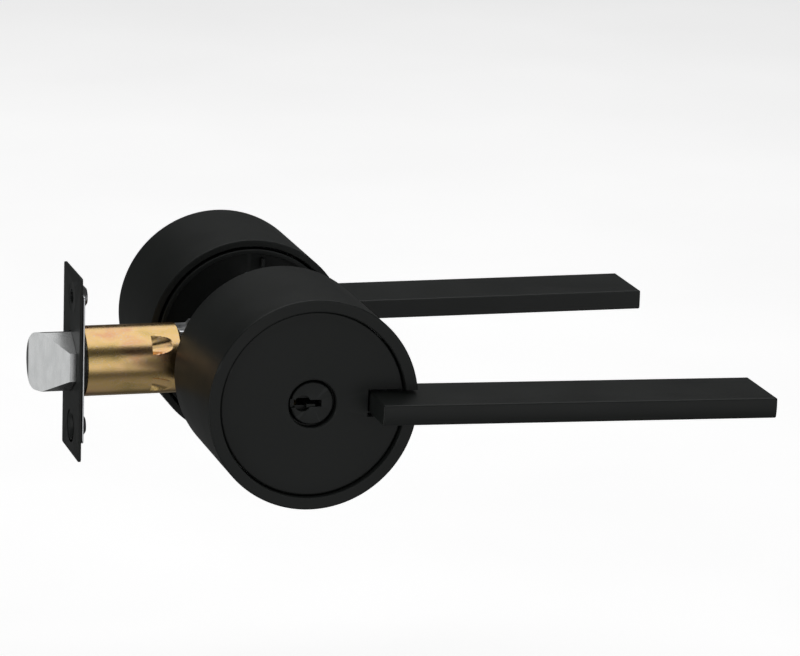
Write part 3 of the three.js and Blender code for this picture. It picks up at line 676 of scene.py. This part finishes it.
def cylinder_housing():
    """The sleeve that the plug turns in, and the block beside it with the pins' chambers."""
    bible_end = span("cylinder_housing", X)[0]
    barrel = ring(HOUSING_BORE, housing_radius, housing_back, housing_face, 0.3 * MM)
    across = (-BIBLE_HALF, BIBLE_HALF)
    bible = block((bible_end, BIBLE_INSIDE), (housing_back, BIBLE_FRONT), across, 0.2 * MM)
    chambers = []
    for number in range(1, 6):
        place = Matrix.Translation((0, -middle(f"key_pin_{number}", Y), 0))
        chambers.append(moved(rod(PIN_CHAMBER, bible_end - PAST, 0), TO_X, place))
    mesh = moved(carved(joined(barrel, bible), *chambers), SIDES["outer"])
    standing_for("cylinder_housing", mesh, "black_coat", "outer_handle")


THUMB_SHAFT = 4.0 * MM
THUMB_BASE = 7.0 * MM
THUMB_BASE_TOP = 63.2 * MM
CLIP_GROOVE = (42.5 * MM, 44.0 * MM)
CLIP_ROOT = 3.1 * MM
GRIP_HALF = 2.0 * MM
GRIP_REACH = 6.2 * MM


def thumb_turn():
    """The indoor button: a round base with a grip across it, on a shaft."""
    tail, top = span("thumb_turn", Y)
    shaft = lathe(rounded([
        (0, tail, 0),
        (THUMB_SHAFT, tail, 0.2 * MM),
        (THUMB_SHAFT, CLIP_GROOVE[0], 0),
        (CLIP_ROOT, CLIP_GROOVE[0], 0),
        (CLIP_ROOT, CLIP_GROOVE[1], 0),
        (THUMB_SHAFT, CLIP_GROOVE[1], 0),
        (THUMB_SHAFT, disc_back + GAP, 0),
        (THUMB_BASE, disc_back + GAP, 0),
        (THUMB_BASE, THUMB_BASE_TOP, 0.6 * MM),
        (0, THUMB_BASE_TOP, 0),
    ]), SMALL * 2)
    grip = slab(rectangle(GRIP_HALF, GRIP_REACH, 1.2 * MM), -top, -THUMB_BASE_TOP + MM, 0.8 * MM, 6)
    mesh = joined(shaft, moved(grip, TO_X))  # the grip is drawn along -X, which this turns to +Y
    standing_for("thumb_turn", mesh, "black_coat", "turn_button")


# ------------------------------------------------------------------ latch


def bolt_outline(grow=0.0, steps=64):
    """The bolt's (y, z) section: half round behind, with a flat front and slanting sides."""
    radius = bolt_radius + grow
    angles = [math.pi * (i / steps - 0.5) for i in range(steps + 1)]
    arc = [(radius * math.cos(a), radius * math.sin(a)) for a in angles]
    front, half = bolt_front - grow, bolt_flat_half + grow
    return [(front, -half), *arc, (front, half)]


def bar(outline, start, end):
    """A plain bar along X with a (y, z) outline."""
    return loft([[(x, y, z) for y, z in outline] for x in (start, end)])


BEVEL_START = plate_face - 2.0 * MM
BEVEL_TIP = 3.9 * MM  # where the bevel meets the bolt's end
BOLT_NOSE = 2.6 * MM
BOLT_COLLAR = (-59.2 * MM, -56.7 * MM)
BOLT_COLLAR_RADIUS = 9.9 * MM
SPRING_ROOM = 5.6 * MM
STEM_HOLE = 2.3 * MM


def bolt_wedge():
    """What the bevel takes off the bolt's outdoor side."""
    slope = (BEVEL_TIP - bolt_front) / (BEVEL_START - bolt_tip)
    ahead = 2 * PAST
    points = [
        (BEVEL_START + ahead, bolt_front - ahead * slope),
        (bolt_tip - ahead, BEVEL_TIP + ahead * slope),
        (bolt_tip - ahead, bolt_front - ahead * slope),
    ]
    height = 2 * bolt_radius
    return loft([[(x, y, z) for x, y in points] for z in (-height, height)])


def bolt_nose():
    """A bar with a rounded end, which the front of the bolt is cut to."""
    radius = bolt_radius + GAP
    end = bolt_back + PAST
    corners = [(0, bolt_tip, 0), (radius, bolt_tip, BOLT_NOSE), (radius, end, 0), (0, end, 0)]
    return moved(lathe(rounded(corners, 12)), TO_X)


def latch_bolt():
    """The bolt, with the collar that the plates stop and the room for its spring and stem."""
    collar = moved(rod(BOLT_COLLAR_RADIUS, *BOLT_COLLAR, FINE, 0.3 * MM), TO_X)
    nosed = boolean(bar(bolt_outline(), bolt_tip, bolt_back), "INTERSECT", [bolt_nose()])
    spring_room = moved(rod(SPRING_ROOM, bolt_back - 10 * MM, bolt_back + PAST), TO_X)
    stem_hole = moved(rod(STEM_HOLE, span("drawbar", X)[0] - GAP, bolt_back), TO_X)
    mesh = carved(joined(nosed, collar), bolt_wedge(), spring_room, stem_hole)
    standing_for("latch_bolt", mesh, "satin_steel", "bolt", 0.45 * MM)


def funnel(wide, narrow, start, end, ahead):
    """A solid of revolution along X that narrows from one radius to another."""
    profile = [(0, start - ahead), (wide, start - ahead), (wide, start), (narrow, end), (0, end)]
    return moved(lathe(profile, SMALL), TO_X)


PLATE_CORNER = 0.9 * MM
FACEPLATE_THICK = 0.9 * MM
BACKING_THICK = 0.5 * MM
BACKING_HALF_HEIGHT = 23.4 * MM
FACEPLATE_DIMPLE = (4.4 * MM, 2.3 * MM, 0.8 * MM)  # radii of the mouth and the throat, wall
BACKING_DIMPLE = (5.5 * MM, 2.0 * MM, 0.5 * MM)


def dimpled_plate(plate, face, back, tip, dimple):
    """A plate with a pressed dimple at each screw hole and a hole for the bolt."""
    mouth, throat, wall = dimple
    for height in (screw_spacing / 2, -screw_spacing / 2):
        place = Matrix.Translation((0, 0, height))
        ear = moved(rod(mouth + wall, face, back, SMALL), TO_X, place)
        shell = moved(funnel(mouth + wall, throat + wall, face + 0.05 * MM, tip, 0), place)
        hollow = moved(funnel(mouth, throat, face, tip - wall, PAST), place)
        hole = moved(rod(throat, face - PAST, tip + PAST), TO_X, place)
        plate = carved(joined(plate, ear, shell), hollow, hole)
    return carved(plate, bar(bolt_outline(GAP), face - PAST, back + PAST))


def faceplate():
    """The black plate that shows in the door's edge."""
    back = plate_face + FACEPLATE_THICK
    half_y, half_z = span("faceplate", Y)[1], span("faceplate", Z)[1]
    plate = slab(rectangle(half_y, half_z, PLATE_CORNER), plate_face, back, 0.2 * MM)
    mesh = dimpled_plate(plate, plate_face, back, plate_tip, FACEPLATE_DIMPLE)
    standing_for("faceplate", mesh, "black_coat", "lock_frame", 0.12 * MM)


def backing_plate():
    """The bright plate behind the faceplate."""
    back = backing_face + BACKING_THICK
    half_y = span("backing_plate", Y)[1]
    plate = slab(rectangle(half_y, BACKING_HALF_HEIGHT, PLATE_CORNER), backing_face, back, 0.12 * MM)
    mesh = dimpled_plate(plate, backing_face, back, backing_tip, BACKING_DIMPLE)
    standing_for("backing_plate", mesh, "bright_zinc", "lock_frame", 0.08 * MM)


COLLAR_BORE = 10.2 * MM


def tube_collar():
    """The black ring between the plates and the tube."""
    start, end = span("tube_collar", X)
    mesh = moved(ring(COLLAR_BORE, tube_radius, start, end, 0.15 * MM), TO_X)
    standing_for("tube_collar", mesh, "black_coat", "lock_frame")


TAB_ANGLES = (36.5, -36.5)  # degrees above and below the outdoor side
TAB_START = -37.6 * MM
TAB_LENGTH = 6.6 * MM
TAB_DEPTH = 2.1 * MM
TAB_HALF = 3.2 * MM
TAB_TAPER = 0.85  # how much a tab narrows towards its far end
CUT_HALF = 0.02 * MM  # half the width of the step at a tab's cut end
TUBE_WALL = 0.8 * MM
TUBE_EDGE = 0.15 * MM
TUBE_STEP = 0.2 * MM  # between two rings of the tube's mesh
TUBE_FACETS = 240


def tab_depth(x, angle, radius):
    """How far a pressed tab moves a point of the tube in: most at its cut end, which is square."""
    along = (x - TAB_START) / TAB_LENGTH
    if not 0 <= along <= 1:
        return 0
    deepest = 0
    for centre in TAB_ANGLES:
        across = abs(angle - math.radians(centre)) * radius
        half = TAB_HALF * math.sqrt(1 - TAB_TAPER * along**2)
        if across < half:
            bowl = 1 - (across / half) ** 3
            deepest = max(deepest, TAB_DEPTH * (1 - along**1.5) * bowl)
    return deepest


def latch_tube():
    """The tube, with two tabs pressed in that hold the spring's seat."""
    inner = tube_radius - TUBE_WALL
    length = tube_end - tube_start - 2 * TUBE_EDGE
    count = round(length / TUBE_STEP)
    along = [tube_start + TUBE_EDGE + length * i / count for i in range(count + 1)]
    along = sorted(along + [TAB_START - CUT_HALF, TAB_START + CUT_HALF])
    outer_wall = [(tube_radius, x) for x in along]
    inner_wall = [(inner, x) for x in reversed(along)]
    ends = [(tube_radius - TUBE_EDGE, tube_end), (inner + TUBE_EDGE, tube_end)]
    starts = [(inner + TUBE_EDGE, tube_start), (tube_radius - TUBE_EDGE, tube_start)]
    mesh = moved(lathe(outer_wall + ends + inner_wall + starts, TUBE_FACETS), TO_X)
    for vertex in mesh.verts:
        x, y, z = vertex.co
        radius = math.hypot(y, z)
        depth = tab_depth(x, math.atan2(z, -y), radius)
        vertex.co = (x, y * (1 - depth / radius), z * (1 - depth / radius))
    standing_for("latch_tube", mesh, "gold_zinc", "lock_frame")


CASE_NECK = (9.7 * MM, -24.0 * MM)  # half its height and where it ends, in the tube
CASE_LOW = (10.9 * MM, -22.8 * MM, -19.0 * MM)  # half its height, start and end
CASE_HIGH_START = -14.0 * MM
CASE_CORNER = 1.2 * MM
CASE_EDGE = 0.8 * MM
CASE_WALL = 1.0 * MM
CASE_BORE = 7.2 * MM  # round the hub
RIVET_HOLE = 1.4 * MM


def case_outline(inset):
    """The latch case's (x, z) outline, drawn in by inset."""
    start, end = span("latch_case_inner", X)
    high = span("latch_case_inner", Z)[1]
    neck, neck_end = CASE_NECK
    low, low_start, low_end = CASE_LOW
    upper = [
        (start + inset, neck - inset, 0),
        (neck_end, neck - inset, 0),
        (low_start, low - inset, 0),
        (low_end, low - inset, CASE_CORNER),
        (CASE_HIGH_START, high - inset, CASE_CORNER),
        (end - inset, high - inset, 2 * CASE_CORNER),
    ]
    return rounded(upper + [(x, -z, radius) for x, z, radius in reversed(upper)])


def pressed_case(node, face, seam):
    """One half of the latch case: a dished plate with a rolled outer edge."""
    outward = 1 if face > seam else -1
    rings = [[(x, seam, z) for x, z in case_outline(0)]]
    steps = 5
    for step in range(steps + 1):
        turn = math.pi / 2 * step / steps
        y = face - outward * CASE_EDGE * (1 - math.sin(turn))
        rings.append([(x, y, z) for x, z in case_outline(CASE_EDGE * (1 - math.cos(turn)))])
    depths = (seam - outward * PAST, face - outward * CASE_WALL)
    cavity = loft([[(x, y, z) for x, z in cavity_outline()] for y in depths])
    drills = [(0, CASE_BORE)]
    drills += [(middle(f"case_rivet_{name}", X), RIVET_HOLE) for name in ("front", "rear")]
    reach = abs(face) + PAST
    holes = [moved(rod(radius, -reach, reach), Matrix.Translation((x, 0, 0))) for x, radius in drills]
    standing_for(node, carved(loft(rings), cavity, *holes), "bright_zinc", "lock_frame")


def cavity_outline():
    """The inside of the case, which runs out through its end by the tube."""
    start = span("latch_case_inner", X)[0]
    open_end = start + 2 * CASE_WALL
    return [(x - CASE_WALL - PAST if x < open_end else x, z) for x, z in case_outline(CASE_WALL)]


def latch_case():
    """The two halves, each with its seam at the side next to the other."""
    outer_face, outer_seam = span("latch_case_outer", Y)
    inner_seam, inner_face = span("latch_case_inner", Y)
    pressed_case("latch_case_outer", outer_face, outer_seam)
    pressed_case("latch_case_inner", inner_face, inner_seam)


RIVET_HEAD = 1.9 * MM
RIVET_TOP = 0.8 * RIVET_HEAD
RIVET_HEAD_DEPTH = 0.8 * MM
RIVET_SHANK = 1.1 * MM


def rivet(name):
    """A rivet through the case, with domed heads."""
    node = f"case_rivet_{name}"
    low, high = span(node, Y)
    low_seat, high_seat = low + RIVET_HEAD_DEPTH, high - RIVET_HEAD_DEPTH
    profile = rounded([
        (0, low, 0),
        (RIVET_TOP, low, 0.3 * MM),
        (RIVET_HEAD, low_seat, 0),
        (RIVET_SHANK, low_seat, 0),
        (RIVET_SHANK, high_seat, 0),
        (RIVET_HEAD, high_seat, 0),
        (RIVET_TOP, high, 0.3 * MM),
        (0, high, 0),
    ])
    mesh = moved(lathe(profile, SMALL), Matrix.Translation((middle(node, X), 0, 0)))
    standing_for(node, mesh, "bright_zinc", "lock_frame")


def wire(points, radius, sides=12):
    """A round wire along points, in one closed mesh."""
    rings = []
    across = Vector((1, 0, 0))
    for index, point in enumerate(points):
        ahead = (points[min(index + 1, len(points) - 1)] - points[max(index - 1, 0)]).normalized()
        across = (across - ahead * across.dot(ahead)).normalized()
        other = ahead.cross(across)
        turns = [2 * math.pi * i / sides for i in range(sides)]
        rings.append([point + radius * (across * math.cos(a) + other * math.sin(a)) for a in turns])
    return loft(rings)


SPRING_WIRE = 0.5 * MM  # the wire's radius
SPRING_RADIUS = 3.9 * MM
SPRING_TURNS = 7
STEPS_A_TURN = 28


def latch_spring():
    """The spring behind the bolt, made at one length; here it doesn't shorten as the bolt is drawn back."""
    low, high = span("latch_spring", X)
    steps = SPRING_TURNS * STEPS_A_TURN
    points = []
    for step in range(steps + 1):
        angle = 2 * math.pi * step / STEPS_A_TURN
        x = low + SPRING_WIRE + (high - low - 2 * SPRING_WIRE) * step / steps
        points.append(Vector((x, SPRING_RADIUS * math.cos(angle), SPRING_RADIUS * math.sin(angle))))
    made = standing_for("latch_spring", wire(points, SPRING_WIRE), "spring_steel", "lock_frame")
    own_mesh(made)


SPINDLE_BORE = 2.9 * MM


def spindle():
    """The square bar that both handles and the hub turn with, hollow for the locking parts."""
    low, high = span("spindle", Y)
    half = span("spindle", X)[1]
    square = moved(slab(rectangle(half, half, 0.5 * MM), low, high, 0.3 * MM), TO_X.inverted())
    mesh = carved(square, rod(SPINDLE_BORE, low - PAST, high + PAST))
    standing_for("spindle", mesh, "bright_zinc", "hub_and_spindle")


# ------------------------------------------------------------------ fixings


POST_BORE = 2.3 * MM
POST_RADIUS = 3.4 * MM
THREAD_CREST = 2.0 * MM
THREAD_ROOT = 1.65 * MM
THREAD_PITCH = 0.8 * MM
PLAIN_SHANK = 2 * MM  # under the head
HEAD_SIDE = 1.6 * MM  # the height of the head's straight side
HEAD_SLOPE = 1.2 * MM
CROSS_REACH = 2.6 * MM
CROSS_HALF = 0.5 * MM
CROSS_DEPTH = 1.8 * MM


def mount_post(name, height):
    """A post of the outdoor cup, which a through screw goes into."""
    low, high = span(f"mount_post_{name}", Y)
    post = ring(POST_BORE, POST_RADIUS, low, high, 0.25 * MM, SMALL)
    mesh = moved(post, Matrix.Translation((0, 0, height)))
    standing_for(f"mount_post_{name}", mesh, "bright_zinc", "lock_frame")


def through_screw(name, height):
    """A machine screw with a thread along most of its shank and a crossed recess."""
    tip, top = span(f"through_screw_{name}", Y)
    seat = cup_top + GAP
    shank = seat - PLAIN_SHANK
    threads = int((shank - MM - tip) / THREAD_PITCH)
    corners = [(0, tip), (0.7 * THREAD_ROOT, tip)]
    for turn in range(threads):
        start = tip + turn * THREAD_PITCH
        corners.append((THREAD_ROOT, start + 0.1 * THREAD_PITCH))
        corners.append((THREAD_CREST, start + 0.5 * THREAD_PITCH))
    corners += [(THREAD_ROOT, tip + threads * THREAD_PITCH), (THREAD_CREST, shank), (THREAD_CREST, seat)]
    head = span(f"through_screw_{name}", X)[1]
    corners += [(head, seat), (head, seat + HEAD_SIDE), (head - HEAD_SLOPE, top), (0, top)]
    screw = lathe(corners, SMALL)
    long_way, short_way = (-CROSS_REACH, CROSS_REACH), (-CROSS_HALF, CROSS_HALF)
    depth = (top - CROSS_DEPTH, top + PAST)
    arms = [block(long_way, depth, short_way), block(short_way, depth, long_way)]
    mesh = moved(carved(screw, *arms), Matrix.Translation((0, 0, height)))
    standing_for(f"through_screw_{name}", mesh, "bright_zinc", "lock_frame")


def fixings():
    """The two posts and the screws that clamp the lock in the door."""
    for name, height in (("upper", post_height), ("lower", -post_height)):
        mount_post(name, height)
        through_screw(name, height)


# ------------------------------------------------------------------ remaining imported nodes


def finish_packed_nodes():
    """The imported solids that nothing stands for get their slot's material."""
    slots = {part["node"]: part["material_slot"] for part in frame["record"]["subparts"]}
    for name, node in frame["nodes"].items():
        if node.hide_render:
            continue
        node.data.materials.clear()
        node.data.materials.append(MATERIALS[slots[name]])


# ------------------------------------------------------------------ studio


FLOOR_HALF = 6.0
FLOOR_BELOW = 10 * MM  # under a lever's end when it points straight down


def floor():
    """A pale floor, clear of the turned levers. Only the camera sees it: it throws no light up."""
    finish = Finish("studio_floor", Roughness=0.9, Specular_IOR_Level=0.1, Emission_Strength=0.60)
    paper = finish.colours(finish.noise(0.2, 3), (0.3, (0.90, 0.90, 0.90)), (0.7, (0.93, 0.93, 0.93)))
    finish.link(Base_Color=paper, Emission_Color=paper)
    mesh = bmesh.new()
    corners = [(u * FLOOR_HALF, v * FLOOR_HALF) for u, v in ((-1, -1), (1, -1), (1, 1), (-1, 1))]
    mesh.faces.new([mesh.verts.new((x, y, 0)) for x, y in corners])
    data = bpy.data.meshes.new("floor")
    mesh.to_mesh(data)
    mesh.free()
    data.materials.append(finish.material)
    made = bpy.data.objects.new("floor", data)
    made.location.z = -lever_end - FLOOR_BELOW
    made.visible_diffuse = made.visible_glossy = made.visible_shadow = False
    bpy.context.scene.collection.objects.link(made)


def softbox(name, place, aim, size, power):
    """A large rectangular lamp that faces the point aim."""
    light = bpy.data.lights.new(name, "AREA")
    light.shape = "RECTANGLE"
    light.size, light.size_y = size
    light.energy = power
    made = bpy.data.objects.new(name, light)
    made.location = place
    made.rotation_euler = (Vector(aim) - Vector(place)).to_track_quat("-Z", "Y").to_euler()
    bpy.context.scene.collection.objects.link(made)


def ramp(tree, value, stops):
    """A grey level that follows a value through (value, level) stops."""
    made = tree.nodes.new("ShaderNodeValToRGB")
    tree.links.new(value, made.inputs["Fac"])
    elements = made.color_ramp.elements
    while len(elements) < len(stops):
        elements.new(0.5)
    for element, (position, level) in zip(elements, stops):
        element.position = position
        element.color = (level, level, level, 1)
    return made.outputs["Color"]


# The room's light by height, and how it falls off with depth. Both run from 0 to 1: from straight
# down to straight up, and from the front to the back.
ROOM_HEIGHTS = [(0.0, 0.30), (0.36, 0.40), (0.45, 1.0), (0.58, 0.8), (0.70, 0.1)]
ROOM_DEPTHS = [(0.0, 1.0), (0.3, 0.7), (0.5, 0.2), (0.9, 0.1)]
ROOM_LEVEL = 0.26

# Pale screens round the studio. For each: the way towards it, the cosines of the angles from there
# at which it starts and is full, and its level.
SCREENS = (
    ((-0.94, -0.23, -0.25), 0.80, 0.93, 0.9),
    ((0.28, -0.95, 0.00), 0.88, 0.96, 0.72),
    ((0.10, 0.90, -0.35), 0.80, 0.95, 0.12),
    ((0.00, -0.15, -1.00), 0.72, 0.94, 0.24),
)


def surroundings():
    """A dim studio, brighter in front, with pale screens on three sides and one below."""
    world = bpy.data.worlds.new("studio")
    world.use_nodes = True
    tree = world.node_tree

    def maths(kind, *values, operation):
        """A maths node's value, its sockets linked or set in order."""
        made = tree.nodes.new(kind)
        made.operation = operation
        for socket, value in zip(made.inputs, values):
            if isinstance(value, bpy.types.NodeSocket):
                tree.links.new(value, socket)
            else:
                socket.default_value = value
        return made.outputs["Value"]

    def from_zero_to_one(value):
        return maths("ShaderNodeMath", value, 0.5, 0.5, operation="MULTIPLY_ADD")

    direction = tree.nodes.new("ShaderNodeTexCoord").outputs["Generated"]
    split = tree.nodes.new("ShaderNodeSeparateXYZ")
    tree.links.new(direction, split.inputs[0])
    by_height = ramp(tree, from_zero_to_one(split.outputs["Z"]), ROOM_HEIGHTS)
    by_depth = ramp(tree, from_zero_to_one(split.outputs["Y"]), ROOM_DEPTHS)
    room = maths("ShaderNodeMath", by_height, by_depth, operation="MULTIPLY")
    total = maths("ShaderNodeMath", room, ROOM_LEVEL, operation="MULTIPLY")
    for towards, edge, core, level in SCREENS:
        centre = Vector(towards).normalized()
        facing = maths("ShaderNodeVectorMath", direction, centre, operation="DOT_PRODUCT")
        glow = ramp(tree, facing, [(edge, 0), (core, 1)])
        total = maths("ShaderNodeMath", glow, level, total, operation="MULTIPLY_ADD")
    background = tree.nodes["Background"]
    background.inputs["Color"].default_value = (1, 1, 1, 1)
    tree.links.new(total, background.inputs["Strength"])
    bpy.context.scene.world = world


CAMERA_PLACE = Vector((-0.31357, -1.21925, 0.32086))
CAMERA_ANGLES = (16.38, 13.89, 1.82)  # degrees turned right, tipped down, and rolled right side up
CAMERA_LENS = 185.64  # mm, on a 36 mm sensor


def camera():
    """A long lens from the outdoor side, a little above and to the latch's side."""
    yaw, pitch, roll = (math.radians(angle) for angle in CAMERA_ANGLES)
    ahead = Vector((math.sin(yaw) * math.cos(pitch), math.cos(yaw) * math.cos(pitch), -math.sin(pitch)))
    level = ahead.cross(Vector((0, 0, 1))).normalized()
    upright = level.cross(ahead)
    right = level * math.cos(roll) + upright * math.sin(roll)
    up = upright * math.cos(roll) - level * math.sin(roll)
    lens = bpy.data.cameras.new("camera")
    lens.sensor_width = 36
    lens.lens = CAMERA_LENS
    lens.clip_start = 0.05
    lens.clip_end = 50
    made = bpy.data.objects.new("camera", lens)
    made.matrix_world = Matrix((
        (right.x, up.x, -ahead.x, CAMERA_PLACE.x),
        (right.y, up.y, -ahead.y, CAMERA_PLACE.y),
        (right.z, up.z, -ahead.z, CAMERA_PLACE.z),
        (0, 0, 0, 1),
    ))
    bpy.context.scene.collection.objects.link(made)
    bpy.context.scene.camera = made


def studio():
    """The camera, the floor and the light."""
    camera()
    floor()
    surroundings()
    softbox("overhead", (0.1, 0.4, 1.2), (0.1, 0.4, 0), (1.9, 2.4), 15)
    bpy.context.scene.view_settings.view_transform = "Standard"


# ------------------------------------------------------------------ making it

for side in SIDES:
    handle(side)
key_plug()
cylinder_housing()
thumb_turn()
latch_bolt()
faceplate()
backing_plate()
tube_collar()
latch_tube()
latch_case()
for name in ("front", "rear"):
    rivet(name)
latch_spring()
spindle()
fixings()
finish_packed_nodes()
studio()
